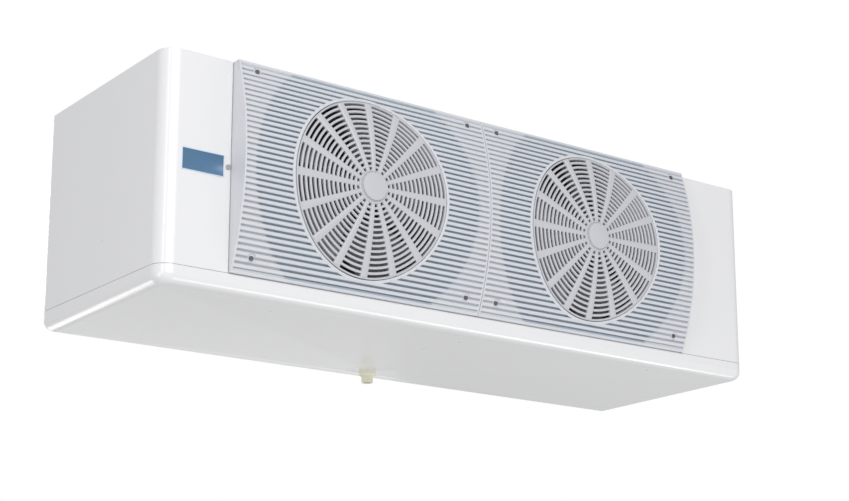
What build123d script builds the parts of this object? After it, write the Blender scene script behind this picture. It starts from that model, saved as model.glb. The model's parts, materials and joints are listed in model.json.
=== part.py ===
from build123d import *
import math
import os

# Unit cooler for a walk-in cold room, hung from the ceiling on four rods.
# X runs along the casing, -Y is the air outlet side with the two fans, +Z is up.
# The origin is the centre of the hanging holes, on the top face of the casing.

# ---- Casing ---------------------------------------------------------------
casing_length = 1168.0
casing_depth = 376.0
casing_height = 320.0
front_corner_radius = 25.0
rear_corner_radius = 6.0
sheet = 1.5
left_cover_return = 111.0
right_cover_return = 157.0
panel_gap = 1.0
lip_height = 18.0
lip_clearance = 0.3

# ---- Frame inside the casing ---------------------------------------------
end_plate_inset = 6.0
end_plate_flange = 24.0
floor_clearance = 2.0
rail_depth = 34.0
rail_height = 20.0
hanger_end_gap = 18.0
hanger_edge = 36.0
hanger_drop = 19.0
hanger_thickness = 3.0
hanging_inset_x = 59.0
hanging_inset_y = 48.0
hanging_hole_radius = 5.5

# ---- Fans ------------------------------------------------------------------
fan_lift = 1.0
blade_tip_radius = 134.5
tip_clearance = 3.5
blade_count = 5
blade_thickness = 2.4
blade_start_angle = 8.0
blade_mid_depth = 19.0
# Blade sections: radius, chord, angle to the fan plane, sweep ahead of the root.
blade_sections = [(44.0, 58.0, 40.0, 0.0), (92.0, 88.0, 27.0, 2.0), (140.0, 112.0, 19.0, 15.0)]
cup_radius = 50.0
cup_wall = 3.0
cup_length = 42.0
motor_radius = 42.0
motor_length = 42.0
motor_spigot_length = 8.0
shaft_radius = 4.0
shaft_running_clearance = 0.05
seat_clearance = 0.02
bearing_outer_radius = 11.0
bearing_width = 7.0
bearing_end_gap = 1.5
boss_radius = 9.0
boss_length = 18.0
circlip_thickness = 1.0
circlip_wall = 3.0
bell_wall = 2.5
bell_front_proud = 6.0
bell_flare_depth = 28.0
bell_flare_radius = 12.0
bell_flange_radius = 155.0
bell_notch_clearance = 1.0
plate_hole_clearance = 1.5
plate_flange_depth = 20.0

# ---- Louvred front panels and fan guards ------------------------------------
bulge_top = 13.0
bulge_mid = 38.0
bulge_bottom = 3.0
panel_wall = 2.0
panel_floor = 12.0
rib_count = 36
rib_proud = 1.6
rib_height = 4.4
rib_margin = 6.0
panel_hole_radius = 138.5
collar_width = 4.5
guard_gap = 1.2
guard_thickness = 4.0
guard_rim_width = 2.7
guard_seat_reach = 3.5
guard_seat_gap = 0.2
guard_seat_thickness = 1.2
guard_hub_radius = 26.4
guard_slot_count = 14
guard_bar = 3.8
spoke_count = 16
spoke_width_hub = 5.0
spoke_width_rim = 12.5
hub_boss_proud = 40.0
hub_boss_length = 8.0
cap_height = 5.0
cap_edge_height = 3.4
cap_room = 2.4
cap_edge_gap = 5.0
dome_sag = 0.25

# ---- Coil and pipework --------------------------------------------------------
tube_radius = 6.0
tube_wall = 1.0
tube_pitch = 35.0
row_pitch = 35.0
row_count = 4
tubes_per_row = 8
fin_pitch = 10.0
fin_thickness = 0.6
fin_end_gap = 4.0
coil_rear_gap = 28.0
coil_top_gap = 12.5
tube_stub = 5.0
tube_hole_clearance = 0.3
header_radius = 16.0
header_wall = 1.5
header_offset = 48.0
header_overhang = 14.0
gas_pipe_radius = 11.0
liquid_pipe_radius = 6.0
pipe_wall = 1.0
pipe_reach = 30.0
pipe_bend_radius = 20.0
distributor_offset = 78.0
distributor_rise = 115.0
distributor_height = 36.0
distributor_radius = 12.0
feeder_radius = 2.5
feeder_wall = 0.7
feeder_spacing = 5.0
feeder_bend_radius = 8.0
feeder_lead = 25.0
liquid_pipe_rise = 40.0
grommet_wall = 3.0
grommet_lip = 3.0
grommet_lip_thickness = 2.0
pipe_grommet_clearance = 0.1

# ---- Electrical ------------------------------------------------------------------
box_depth = 58.0
box_width = 100.0
box_height = 110.0
box_wall = 3.0
box_front_gap = 28.0
box_drop = 104.0
lid_thickness = 3.0
lead_radius = 2.5
lead_front_proud = 16.0
lead_bell_gap = 30.0
lead_plenum_depth = 76.0
lead_bend_radius = 12.0
lead_floor_gap = 11.0
lead_hole_clearance = 1.0
gland_hole_radius = 10.2
gland_thread_radius = 10.0
gland_bore_radius = 5.0
gland_hex_radius = 14.0
gland_hex_thickness = 5.0
gland_dome_radius = 11.5
gland_dome_length = 18.0
gland_dome_round = 3.0
gland_inside_length = 12.0
gland_nut_thickness = 5.0
gland_side_gap = 44.0
gland_drop = 60.0

# ---- Drip tray --------------------------------------------------------------------
seam_gap = 0.6
tray_wall = 2.0
tray_front_depth = 29.0
tray_rear_depth = 33.0
tray_edge_radius = 16.0
tray_crease_inset = 20.0
drain_rear_gap = 76.0
drain_drop = 38.0
drain_pad_size = 40.0
drain_boss_radius = 22.0
drain_hole_radius = 10.4
spigot_thread_radius = 10.0
spigot_radius = 9.8
spigot_bore_radius = 8.0
spigot_length = 20.0
spigot_flange_radius = 17.0
spigot_flange_thickness = 2.5
seal_thickness = 1.5
drain_nut_radius = 14.5
drain_nut_height = 8.0
hinge_inset = 154.0
hinge_axis_gap = 5.0
hinge_pin_radius = 2.0
hinge_running_clearance = 0.05
hinge_eye_radius = 4.0
hinge_eye_width = 16.0
hinge_plate_thickness = 2.0
hinge_plate_height = 26.0
hinge_ear_thickness = 2.0
hinge_ear_gap = 0.4
catch_inset = 184.0
catch_stud_radius = 3.0
catch_ball_radius = 4.0
catch_stud_height = 12.0
catch_arm_length = 22.0
catch_arm_thickness = 2.0
catch_arm_width = 14.0
catch_arm_height = 7.0
catch_clearance = 1.2
clip_height = 14.0
clip_width = 12.0
clip_wall = 1.2

# ---- Fasteners and nameplate ---------------------------------------------------
screw_radius = 2.0
screw_head_radius = 3.8
screw_head_height = 2.0
screw_length = 8.0
screw_clearance = 0.2
cover_screw_inset = 5.0
cover_screw_drop = 163.0
rear_screw_margin = 60.0
panel_screw_inset = 30.0
panel_screw_top = 15.0
panel_screw_bottom = 24.0
pillar_radius = 6.0
hanger_bolt_radius = 3.0
hanger_bolt_head_radius = 5.0
hanger_bolt_head_height = 4.0
hanger_bolt_length = 10.0
hanger_bolt_inset = 68.0
hanger_bolt_drop = 14.0
motor_screw_circle = 14.0
plate_length = 70.0
plate_height = 34.0
plate_thickness = 0.8
plate_inset = 30.0
plate_drop = 146.0

# ---- Derived places ---------------------------------------------------------------
left_x, right_x = -casing_length / 2, casing_length / 2
front_y, rear_y = -casing_depth / 2, casing_depth / 2
bottom_z = -casing_height
hanging_pitch_x = casing_length - 2 * hanging_inset_x
hanging_pitch_y = casing_depth - 2 * hanging_inset_y
hanger_length = casing_depth - 2 * hanger_end_gap
hanger_bolt_pitch = casing_depth - 2 * hanger_bolt_inset
cover_edge_left = left_x + left_cover_return
cover_edge_right = right_x - right_cover_return
panel_pitch = (cover_edge_right - cover_edge_left) / 2
panel_split_x = cover_edge_left + panel_pitch
fan_centres = {"left": cover_edge_left + panel_pitch / 2, "right": cover_edge_right - panel_pitch / 2}
end_plate_left = cover_edge_left + end_plate_inset
end_plate_right = cover_edge_right - end_plate_inset
inner_left = end_plate_left + sheet
inner_right = end_plate_right - sheet
flange_front_y = front_y + sheet
flange_rear_y = rear_y - sheet
frame_bottom_z = bottom_z + floor_clearance
panel_top = -panel_gap
panel_bottom = bottom_z + panel_gap
panel_middle = (panel_top + panel_bottom) / 2
panel_screw_reach = panel_pitch / 2 - panel_screw_inset
fan_z = panel_middle + fan_lift
blade_mid_y = front_y + blade_mid_depth
bell_front_y = front_y - bell_front_proud
bell_flare_y = front_y + bell_flare_depth
plate_back_y = flange_front_y + sheet
throat_radius = blade_tip_radius + tip_clearance
guard_radius = panel_hole_radius - guard_gap
hub_front_y = front_y - hub_boss_proud
hub_back_y = hub_front_y + hub_boss_length
motor_front_y = hub_back_y + motor_spigot_length
motor_rear_y = motor_front_y + motor_length
cup_front_y = blade_mid_y - cup_length / 2
cup_rear_y = blade_mid_y + cup_length / 2
coil_rear_y = rear_y - coil_rear_gap
coil_front_y = coil_rear_y - row_count * row_pitch
distributor_y = (coil_front_y + coil_rear_y) / 2
distributor_bottom = bottom_z + distributor_rise
coil_top_z = -sheet - coil_top_gap
coil_height = tubes_per_row * tube_pitch + tube_pitch / 2
row_places = [coil_front_y + (row + 0.5) * row_pitch for row in range(row_count)]
first_tube_z = [coil_top_z - tube_pitch / 2 * (1 + row % 2) for row in range(row_count)]
tube_left_x = end_plate_left - tube_stub
tube_right_x = end_plate_right + tube_stub
tray_top_z = bottom_z - seam_gap
drain_x, drain_y = panel_split_x, rear_y - drain_rear_gap
drain_z = bottom_z - drain_drop
hinge_y, hinge_z = rear_y + hinge_axis_gap, bottom_z
hinge_places = [left_x + hinge_inset, right_x - hinge_inset]
catch_places = [left_x + catch_inset, right_x - catch_inset]
catch_y = front_y + tray_wall + catch_arm_length - catch_arm_width / 2
header_x = end_plate_right + header_offset
header_z = (first_tube_z[0] + first_tube_z[1]) / 2
distributor_x = end_plate_right + distributor_offset
liquid_pipe_z = distributor_bottom + distributor_height + liquid_pipe_rise
box_front_y = front_y + box_front_gap
lead_front_y = front_y - lead_front_proud
lead_plenum_y = front_y + lead_plenum_depth
lead_reach = bell_flange_radius + lead_bell_gap
lead_heights = [fan_z - box_height / 6, fan_z + box_height / 6]

pieces = {}


# ---- Small helpers ----------------------------------------------------------------
def block(low, high, mode=Mode.ADD):
    """Box between two opposite corners."""
    with Locations(tuple((a + b) / 2 for a, b in zip(low, high))):
        Box(*[b - a for a, b in zip(low, high)], mode=mode)


def rod(start, direction, radius, length, mode=Mode.ADD):
    """Cylinder that starts at a point and runs along a direction."""
    with Locations(Plane(origin=start, z_dir=direction)):
        Cylinder(radius, length, align=(Align.CENTER, Align.CENTER, Align.MIN), mode=mode)


def screw(seat, outward, radius=screw_radius, head_radius=screw_head_radius,
          head_height=screw_head_height, length=screw_length):
    """Screw whose head stands outward from its seat."""
    rod(seat, outward, head_radius, head_height)
    rod(seat, tuple(-c for c in outward), radius, length)


def drill(seat, outward, depth, radius=screw_radius + screw_clearance):
    """Hole that goes in from a seat, against the outward direction."""
    rod(seat, tuple(-c for c in outward), radius, depth, mode=Mode.SUBTRACT)


def pipe_run(points, radius, wall, bend):
    """Hollow pipe along straight runs joined by tangent bends."""
    with BuildPart() as run:
        with BuildLine() as path:
            FilletPolyline(*points, radius=bend)
        with BuildSketch(Plane(origin=points[0], z_dir=path.line % 0)):
            Circle(radius)
            Circle(radius - wall, mode=Mode.SUBTRACT)
        sweep()
    return run.part


def arc_depth(z):
    """Distance of the bulged front skin from the casing front at a height."""
    (y1, z1), (y2, z2), (y3, z3) = skin_points
    d = 2 * (y1 * (z2 - z3) + y2 * (z3 - z1) + y3 * (z1 - z2))
    s1, s2, s3 = y1**2 + z1**2, y2**2 + z2**2, y3**2 + z3**2
    centre_y = (s1 * (z2 - z3) + s2 * (z3 - z1) + s3 * (z1 - z2)) / d
    centre_z = (s1 * (y3 - y2) + s2 * (y1 - y3) + s3 * (y2 - y1)) / d
    radius = math.hypot(y1 - centre_y, z1 - centre_z)
    return front_y - (centre_y - math.sqrt(radius**2 - (z - centre_z) ** 2))


skin_points = [
    (front_y - bulge_top, panel_top),
    (front_y - bulge_mid, panel_middle),
    (front_y - bulge_bottom, panel_bottom),
]


def skin_band(proud, behind, x_low, x_high):
    """Curved strip that follows the bulge, from proud of the skin to behind it."""
    with BuildPart() as band:
        with BuildSketch(Plane.YZ.offset(x_low)):
            with BuildLine():
                front = ThreePointArc(*[(y - proud, z) for y, z in skin_points])
                back = ThreePointArc(*[(y + behind, z) for y, z in skin_points])
                Line(front @ 0, back @ 0)
                Line(front @ 1, back @ 1)
            make_face()
        extrude(amount=x_high - x_low)
    return band.part


def fan_disc(fan_x, radius, mode):
    """Cylinder through the whole front of the cooler, about a fan axis."""
    with Locations(Plane(origin=(fan_x, front_y, fan_z), z_dir=(0, -1, 0))):
        Cylinder(radius, 2 * hub_boss_proud + casing_depth, mode=mode)


# ---- Casing --------------------------------------------------------------------------
def end_cover_shell(return_width):
    """Left end cover: side wall, rounded front corner, front and rear returns."""
    edge_x = left_x + return_width - panel_gap / 2
    with BuildPart() as cover:
        with BuildSketch(Plane.XY.offset(bottom_z)):
            for inset, mode in ((0, Mode.ADD), (sheet, Mode.SUBTRACT)):
                with BuildSketch(mode=mode) as plan:
                    with BuildLine():
                        Polyline(
                            (edge_x + inset, front_y + inset),
                            (left_x + inset, front_y + inset),
                            (left_x + inset, rear_y - inset),
                            (edge_x + inset, rear_y - inset),
                            close=True,
                        )
                    make_face()
                    outer = plan.vertices().group_by(Axis.X)[0].sort_by(Axis.Y)
                    fillet(outer[0], front_corner_radius - inset)
                    outer = plan.vertices().group_by(Axis.X)[0].sort_by(Axis.Y)
                    fillet(outer[-1], rear_corner_radius - inset)
        extrude(amount=casing_height)
    return cover.part


with BuildPart() as top_panel:
    block((left_x + sheet, flange_front_y, -sheet), (right_x - sheet, flange_rear_y, 0))
    front_edges = top_panel.edges().filter_by(Axis.Z).group_by(Axis.Y)[0]
    fillet(front_edges, front_corner_radius - sheet)
    rear_edges = top_panel.edges().filter_by(Axis.Z).group_by(Axis.Y)[-1]
    fillet(rear_edges, rear_corner_radius - sheet)
    lip_left, lip_right = inner_left + lip_clearance, inner_right - lip_clearance
    block((lip_left, plate_back_y, -lip_height), (lip_right, plate_back_y + sheet, -sheet))
    block((lip_left, flange_rear_y - sheet, -lip_height), (lip_right, flange_rear_y, -sheet))
    with GridLocations(hanging_pitch_x, hanging_pitch_y, 2, 2):
        Hole(hanging_hole_radius)
    for fan_x in fan_centres.values():
        fan_disc(fan_x, bell_flange_radius + bell_notch_clearance, Mode.SUBTRACT)
    for fan_x in fan_centres.values():
        for side in (-1, 1):
            place = (fan_x + side * panel_screw_reach, plate_back_y, -panel_screw_top)
            drill(place, (0, -1, 0), sheet)
pieces["top_panel"] = top_panel

with BuildPart() as end_cover_left:
    add(end_cover_shell(left_cover_return))
    front_screw_x = cover_edge_left - cover_screw_inset
    drill((front_screw_x, front_y, -cover_screw_drop), (0, -1, 0), sheet)
    for z in (-rear_screw_margin, bottom_z + rear_screw_margin):
        drill((front_screw_x, rear_y, z), (0, 1, 0), sheet)
    gland_place = (left_x + gland_side_gap, rear_y, -gland_drop)
    drill(gland_place, (0, 1, 0), sheet, gland_hole_radius)
pieces["end_cover_left"] = end_cover_left

with BuildPart() as end_cover_right:
    add(mirror(end_cover_shell(right_cover_return), about=Plane.YZ, mode=Mode.PRIVATE))
    right_screw_x = cover_edge_right + cover_screw_inset
    drill((right_screw_x, front_y, -cover_screw_drop), (0, -1, 0), sheet)
    for z in (-rear_screw_margin, bottom_z + rear_screw_margin):
        drill((right_screw_x, rear_y, z), (0, 1, 0), sheet)
    for x, z, pipe_radius in (
        (header_x, header_z, gas_pipe_radius),
        (distributor_x, liquid_pipe_z, liquid_pipe_radius),
    ):
        drill((x, rear_y, z), (0, 1, 0), sheet, pipe_radius + grommet_wall)
pieces["end_cover_right"] = end_cover_right


# ---- Frame ------------------------------------------------------------------------------
tube_places = [
    (y, first_tube_z[row] - step * tube_pitch)
    for row, y in enumerate(row_places)
    for step in range(tubes_per_row)
]


def end_plate(x_outer, outward, screw_x):
    """Tube sheet with flanges that carry the end cover; outward is -1 or 1 along X."""
    x_inner = x_outer - outward * sheet
    x_flange = x_outer + outward * end_plate_flange
    x_low, x_high = min(x_inner, x_flange), max(x_inner, x_flange)
    with BuildPart() as plate:
        web_low, web_high = min(x_inner, x_outer), max(x_inner, x_outer)
        block((web_low, flange_front_y, frame_bottom_z), (web_high, flange_rear_y, -sheet))
        for y in (flange_front_y, flange_rear_y - sheet):
            block((x_low, y, frame_bottom_z), (x_high, y + sheet, -sheet))
        for y, z in tube_places:
            drill((x_outer, y, z), (outward, 0, 0), sheet, tube_radius + tube_hole_clearance)
        drill((screw_x, flange_front_y, -cover_screw_drop), (0, -1, 0), sheet)
        for z in (-rear_screw_margin, bottom_z + rear_screw_margin):
            drill((screw_x, flange_rear_y, z), (0, 1, 0), sheet)
        for y in (-hanger_bolt_pitch / 2, hanger_bolt_pitch / 2):
            place = (x_outer, y, -hanger_bolt_drop)
            drill(place, (outward, 0, 0), sheet, hanger_bolt_radius + screw_clearance)
        if outward < 0:
            for z in lead_heights:
                place = (x_outer, lead_plenum_y, z)
                drill(place, (outward, 0, 0), sheet, lead_radius + lead_hole_clearance)
    return plate


pieces["end_plate_left"] = end_plate(end_plate_left, -1, front_screw_x)
pieces["end_plate_right"] = end_plate(end_plate_right, 1, right_screw_x)


def hanger(x_face, outward):
    """Angle under the top panel that the hanging rods pass through."""
    x_tip = outward * (hanging_pitch_x / 2 + hanger_edge)
    x_leg = x_face + outward * hanger_thickness
    top_z = -sheet
    with BuildPart() as angle:
        block(
            (min(x_face, x_tip), -hanger_length / 2, top_z - hanger_thickness),
            (max(x_face, x_tip), hanger_length / 2, top_z),
        )
        block(
            (min(x_face, x_leg), -hanger_length / 2, top_z - hanger_thickness - hanger_drop),
            (max(x_face, x_leg), hanger_length / 2, top_z - hanger_thickness),
        )
        for y in (-hanging_pitch_y / 2, hanging_pitch_y / 2):
            place = (outward * hanging_pitch_x / 2, y, top_z)
            drill(place, (0, 0, 1), hanger_thickness, hanging_hole_radius)
        for y in (-hanger_bolt_pitch / 2, hanger_bolt_pitch / 2):
            place = (x_leg, y, -hanger_bolt_drop)
            depth, radius = hanger_thickness, hanger_bolt_radius + screw_clearance
            drill(place, (outward, 0, 0), depth, radius)
    return angle


pieces["hanger_left"] = hanger(end_plate_left, -1)
pieces["hanger_right"] = hanger(end_plate_right, 1)

with BuildPart() as hanger_bolts:
    for x_face, outward in ((end_plate_left, -1), (end_plate_right, 1)):
        for y in (-hanger_bolt_pitch / 2, hanger_bolt_pitch / 2):
            screw(
                (x_face + outward * hanger_thickness, y, -hanger_bolt_drop),
                (outward, 0, 0),
                hanger_bolt_radius,
                hanger_bolt_head_radius,
                hanger_bolt_head_height,
                hanger_bolt_length,
            )
pieces["hanger_bolts"] = hanger_bolts


def bottom_rail(y_wall, inward):
    """Angle along the casing floor, between the end plates; inward is -1 or 1 along Y."""
    y_leg, y_tip = y_wall + inward * sheet, y_wall + inward * rail_depth
    low_z, leg_z = frame_bottom_z, frame_bottom_z + rail_height
    with BuildPart() as rail:
        block(
            (inner_left, min(y_wall, y_tip), low_z),
            (inner_right, max(y_wall, y_tip), low_z + sheet),
        )
        block((inner_left, min(y_wall, y_leg), low_z), (inner_right, max(y_wall, y_leg), leg_z))
    return rail


rail_front_y = plate_back_y
with BuildPart() as bottom_rail_front:
    add(bottom_rail(rail_front_y, 1).part)
    for x in catch_places:
        place = (x, catch_y, frame_bottom_z + sheet)
        drill(place, (0, 0, 1), sheet, catch_ball_radius + catch_clearance)
    for fan_x in fan_centres.values():
        fan_disc(fan_x, bell_flange_radius + bell_notch_clearance, Mode.SUBTRACT)
        for side in (-1, 1):
            place = (fan_x + side * panel_screw_reach, rail_front_y, bottom_z + panel_screw_bottom)
            drill(place, (0, -1, 0), sheet)
pieces["bottom_rail_front"] = bottom_rail_front
pieces["bottom_rail_rear"] = bottom_rail(flange_rear_y, -1)


# ---- Fan plates and bell mouths --------------------------------------------------------------
def fan_plate(fan_x, x_low, x_high):
    """Flat plate behind a louvred panel, with the fan opening and folded sides."""
    flange_top = -lip_height - lip_clearance
    flange_low = frame_bottom_z + rail_height + lip_clearance
    with BuildPart() as plate:
        block((x_low, flange_front_y, frame_bottom_z), (x_high, plate_back_y, -sheet))
        for x in (x_low, x_high - sheet):
            block((x, plate_back_y, flange_low), (x + sheet, plate_back_y + plate_flange_depth, flange_top))
        fan_disc(fan_x, throat_radius + bell_wall + plate_hole_clearance, Mode.SUBTRACT)
        for side in (-1, 1):
            for z in (-panel_screw_top, bottom_z + panel_screw_bottom):
                place = (fan_x + side * panel_screw_reach, flange_front_y, z)
                drill(place, (0, -1, 0), sheet)
        place = (fan_x - lead_reach, flange_front_y, lead_heights[1])
        drill(place, (0, -1, 0), sheet, lead_radius + lead_hole_clearance)
    return plate


def bell_mouth(fan_x):
    """Rounded inlet ring and throat that the blade tips run in."""
    fan_plane = Plane(origin=(fan_x, 0, fan_z), x_dir=(1, 0, 0), z_dir=(0, 0, 1))
    outer_radius = throat_radius + bell_wall
    arc_centre = (outer_radius + bell_flare_radius, bell_flare_y)
    lip_y = bell_flare_y + bell_flare_radius
    with BuildPart() as ring:
        with BuildSketch(fan_plane):
            with BuildLine():
                Polyline(
                    (throat_radius, bell_flare_y),
                    (throat_radius, bell_front_y),
                    (outer_radius, bell_front_y),
                    (outer_radius, plate_back_y),
                    (bell_flange_radius, plate_back_y),
                    (bell_flange_radius, plate_back_y + bell_wall),
                    (outer_radius, plate_back_y + bell_wall),
                    (outer_radius, bell_flare_y),
                )
                CenterArc(arc_centre, bell_flare_radius, 180, -90)
                Line((arc_centre[0], lip_y), (arc_centre[0], lip_y + bell_wall))
                CenterArc(arc_centre, bell_flare_radius + bell_wall, 90, 90)
            make_face()
        revolve(axis=Axis((fan_x, 0, fan_z), (0, 1, 0)))
    return ring


plate_edges = {
    "left": (inner_left, panel_split_x - lip_clearance / 2),
    "right": (panel_split_x + lip_clearance / 2, inner_right),
}


# ---- Louvred front panels and fan guards -----------------------------------------------------
def louvre_panel(fan_x, x_low, x_high):
    """Bulged front panel with raised ribs, open at the back, with four screw pillars."""
    with BuildPart() as panel:
        with BuildSketch(Plane.YZ.offset(x_low)):
            with BuildLine():
                ThreePointArc(*skin_points)
                Polyline(
                    skin_points[0],
                    (flange_front_y, panel_top),
                    (flange_front_y, panel_bottom),
                    skin_points[2],
                )
            make_face()
        extrude(amount=x_high - x_low)
        with BuildSketch(Plane.YZ.offset(x_low + panel_wall)):
            with BuildLine():
                ThreePointArc(*[(y + panel_wall, z) for y, z in skin_points])
                Polyline(
                    (skin_points[0][0] + panel_wall, panel_top),
                    (rear_y, panel_top),
                    (rear_y, panel_bottom),
                    (skin_points[2][0] + panel_wall, panel_bottom),
                )
            make_face()
            hollow_low, hollow_high = panel_bottom + panel_floor, panel_top - panel_wall
            with Locations((0, (hollow_low + hollow_high) / 2)):
                Rectangle(2 * casing_depth, hollow_high - hollow_low, mode=Mode.INTERSECT)
        extrude(amount=x_high - x_low - 2 * panel_wall, mode=Mode.SUBTRACT)
        rib_span = panel_top - panel_bottom - 2 * rib_margin
        with BuildSketch(Plane.YZ.offset(x_low)):
            for rib in range(rib_count):
                z = panel_top - rib_margin - (rib + 0.5) * rib_span / rib_count
                slope = math.degrees(math.atan2(arc_depth(z + 1) - arc_depth(z - 1), 2))
                with Locations(Location((front_y - arc_depth(z), z), slope)):
                    Rectangle(2 * rib_proud, rib_height)
        extrude(amount=x_high - x_low)
        fan_disc(fan_x, panel_hole_radius + collar_width, Mode.SUBTRACT)
        add(collar(fan_x))
        for side in (-1, 1):
            for z in (-panel_screw_top, bottom_z + panel_screw_bottom):
                x, seat_y = fan_x + side * panel_screw_reach, front_y - arc_depth(z)
                rod((x, seat_y + panel_wall / 2, z), (0, 1, 0), pillar_radius,
                    flange_front_y - seat_y - panel_wall / 2)
                drill((x, flange_front_y, z), (0, 1, 0), flange_front_y - seat_y)
                sink = screw_seat_y(z)
                rod((x, sink, z), (0, -1, 0), screw_head_radius + screw_clearance,
                    hub_boss_proud, mode=Mode.SUBTRACT)
    return panel


def screw_seat_y(z):
    """Seat of a panel screw's head, sunk just below the skin's ribs."""
    return front_y - arc_depth(z) + screw_head_height / 2


def collar(fan_x):
    """Smooth ring round the fan opening, following the bulge."""
    reach = panel_hole_radius + collar_width
    with BuildPart() as ring:
        add(skin_band(rib_proud, panel_wall, fan_x - reach, fan_x + reach))
        fan_disc(fan_x, reach, Mode.INTERSECT)
        fan_disc(fan_x, panel_hole_radius, Mode.SUBTRACT)
    return ring.part


def guard_seat(fan_x):
    """Rim of the guard with the flange that sits against the back of the panel's collar."""
    seat_radius = panel_hole_radius + guard_seat_reach
    seat_front = panel_wall + guard_seat_gap
    seat_back = seat_front + guard_seat_thickness
    with BuildPart() as seat:
        add(skin_band(rib_proud, seat_back, fan_x - seat_radius, fan_x + seat_radius))
        fan_disc(fan_x, guard_radius, Mode.INTERSECT)
        add(skin_band(-seat_front, seat_back, fan_x - seat_radius, fan_x + seat_radius))
        fan_disc(fan_x, seat_radius, Mode.INTERSECT)
        fan_disc(fan_x, guard_radius - guard_rim_width, Mode.SUBTRACT)
    return seat.part


def fan_guard(fan_x):
    """Round guard that follows the bulge, with rings, tapered spokes and a flat hub."""
    slots_end = guard_radius - guard_rim_width
    slot_pitch = (slots_end + guard_bar - guard_hub_radius) / guard_slot_count
    face_plane = Plane(origin=(fan_x, front_y, fan_z), x_dir=(1, 0, 0), z_dir=(0, -1, 0))
    with BuildPart() as guard:
        add(skin_band(rib_proud, guard_thickness - rib_proud, fan_x - guard_radius, fan_x + guard_radius))
        fan_disc(fan_x, guard_radius, Mode.INTERSECT)
        with BuildSketch(face_plane):
            for ring in reversed(range(guard_slot_count)):
                inner = guard_hub_radius + ring * slot_pitch
                Circle(inner + slot_pitch - guard_bar)
                Circle(inner, mode=Mode.SUBTRACT)
            with PolarLocations(0, spoke_count, start_angle=90):
                Polygon(
                    (0, -spoke_width_hub / 2),
                    (slots_end, -spoke_width_rim / 2),
                    (slots_end, spoke_width_rim / 2),
                    (0, spoke_width_hub / 2),
                    align=None,
                    mode=Mode.SUBTRACT,
                )
        extrude(amount=2 * hub_boss_proud, both=True, mode=Mode.SUBTRACT)
        add(guard_seat(fan_x))
        rod((fan_x, hub_front_y, fan_z), (0, 1, 0), guard_hub_radius, hub_boss_length)
        for x, z in motor_screw_places(fan_x):
            drill((x, hub_front_y, z), (0, -1, 0), hub_boss_length)
    return guard


def motor_screw_places(fan_x):
    """Four places on the motor's screw circle."""
    reach = motor_screw_circle / math.sqrt(2)
    return [(fan_x + sx * reach, fan_z + sz * reach) for sx in (-1, 1) for sz in (-1, 1)]


def guard_cap(fan_x):
    """Plain domed cap, hollow over the motor screws."""
    fan_plane = Plane(origin=(fan_x, 0, fan_z), x_dir=(1, 0, 0), z_dir=(0, 0, 1))
    half_width = guard_hub_radius - cap_edge_gap
    edge_y, top_y = hub_front_y - cap_edge_height, hub_front_y - cap_height
    with BuildPart() as cap:
        with BuildSketch(fan_plane):
            with BuildLine():
                rim, seat = (half_width, edge_y), (half_width, hub_front_y)
                outline = Polyline(rim, seat, (0, hub_front_y), (0, top_y))
                dome = ThreePointArc(
                    outline @ 1, (half_width / 2, top_y + dome_sag * (edge_y - top_y)), outline @ 0
                )
            make_face()
        revolve(axis=Axis((fan_x, 0, fan_z), (0, 1, 0)))
        screw_room = motor_screw_circle + screw_head_radius + screw_clearance
        rod((fan_x, hub_front_y, fan_z), (0, -1, 0), screw_room, cap_room, mode=Mode.SUBTRACT)
    return cap


# ---- Motors and impellers --------------------------------------------------------------------
bearing_y = [
    motor_rear_y - bearing_end_gap - bearing_width,
    motor_front_y + bearing_end_gap + bearing_width,
]


def motor(fan_x):
    """Motor body: spigot on the guard hub, round body, blind bore for the bearings."""
    with BuildPart() as body:
        rod((fan_x, hub_back_y, fan_z), (0, 1, 0), guard_hub_radius, motor_spigot_length)
        rod((fan_x, motor_front_y, fan_z), (0, 1, 0), motor_radius, motor_length)
        chamfer(body.edges().filter_by(GeomType.CIRCLE).group_by(Axis.Y)[-1], cup_wall / 2)
        bore_depth = motor_rear_y - bearing_y[1] + bearing_width
        bore_radius = bearing_outer_radius + seat_clearance
        drill((fan_x, motor_rear_y, fan_z), (0, 1, 0), bore_depth, bore_radius)
        for x, z in motor_screw_places(fan_x):
            drill((x, hub_back_y, z), (0, -1, 0), screw_length, screw_radius + seat_clearance)
    return body


def bearings(fan_x):
    """Two ball bearings on the shaft, shown as plain rings."""
    with BuildPart() as rings:
        for y in (bearing_y[0], bearing_y[1] - bearing_width):
            rod((fan_x, y, fan_z), (0, 1, 0), bearing_outer_radius, bearing_width)
        fan_disc(fan_x, shaft_radius + shaft_running_clearance, Mode.SUBTRACT)
    return rings


def motor_shaft(fan_x):
    """Shaft from the front bearing to the back of the impeller."""
    start_y = bearing_y[1] - bearing_width
    with BuildPart() as shaft:
        rod((fan_x, start_y, fan_z), (0, 1, 0), shaft_radius, cup_rear_y + 2 * circlip_thickness - start_y)
    return shaft


def shaft_circlip(fan_x):
    """Retaining ring on the shaft's rear end, against the impeller."""
    with BuildPart() as clip:
        rod((fan_x, cup_rear_y, fan_z), (0, 1, 0), shaft_radius + circlip_wall, circlip_thickness)
        fan_disc(fan_x, shaft_radius + seat_clearance, Mode.SUBTRACT)
    return clip


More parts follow.
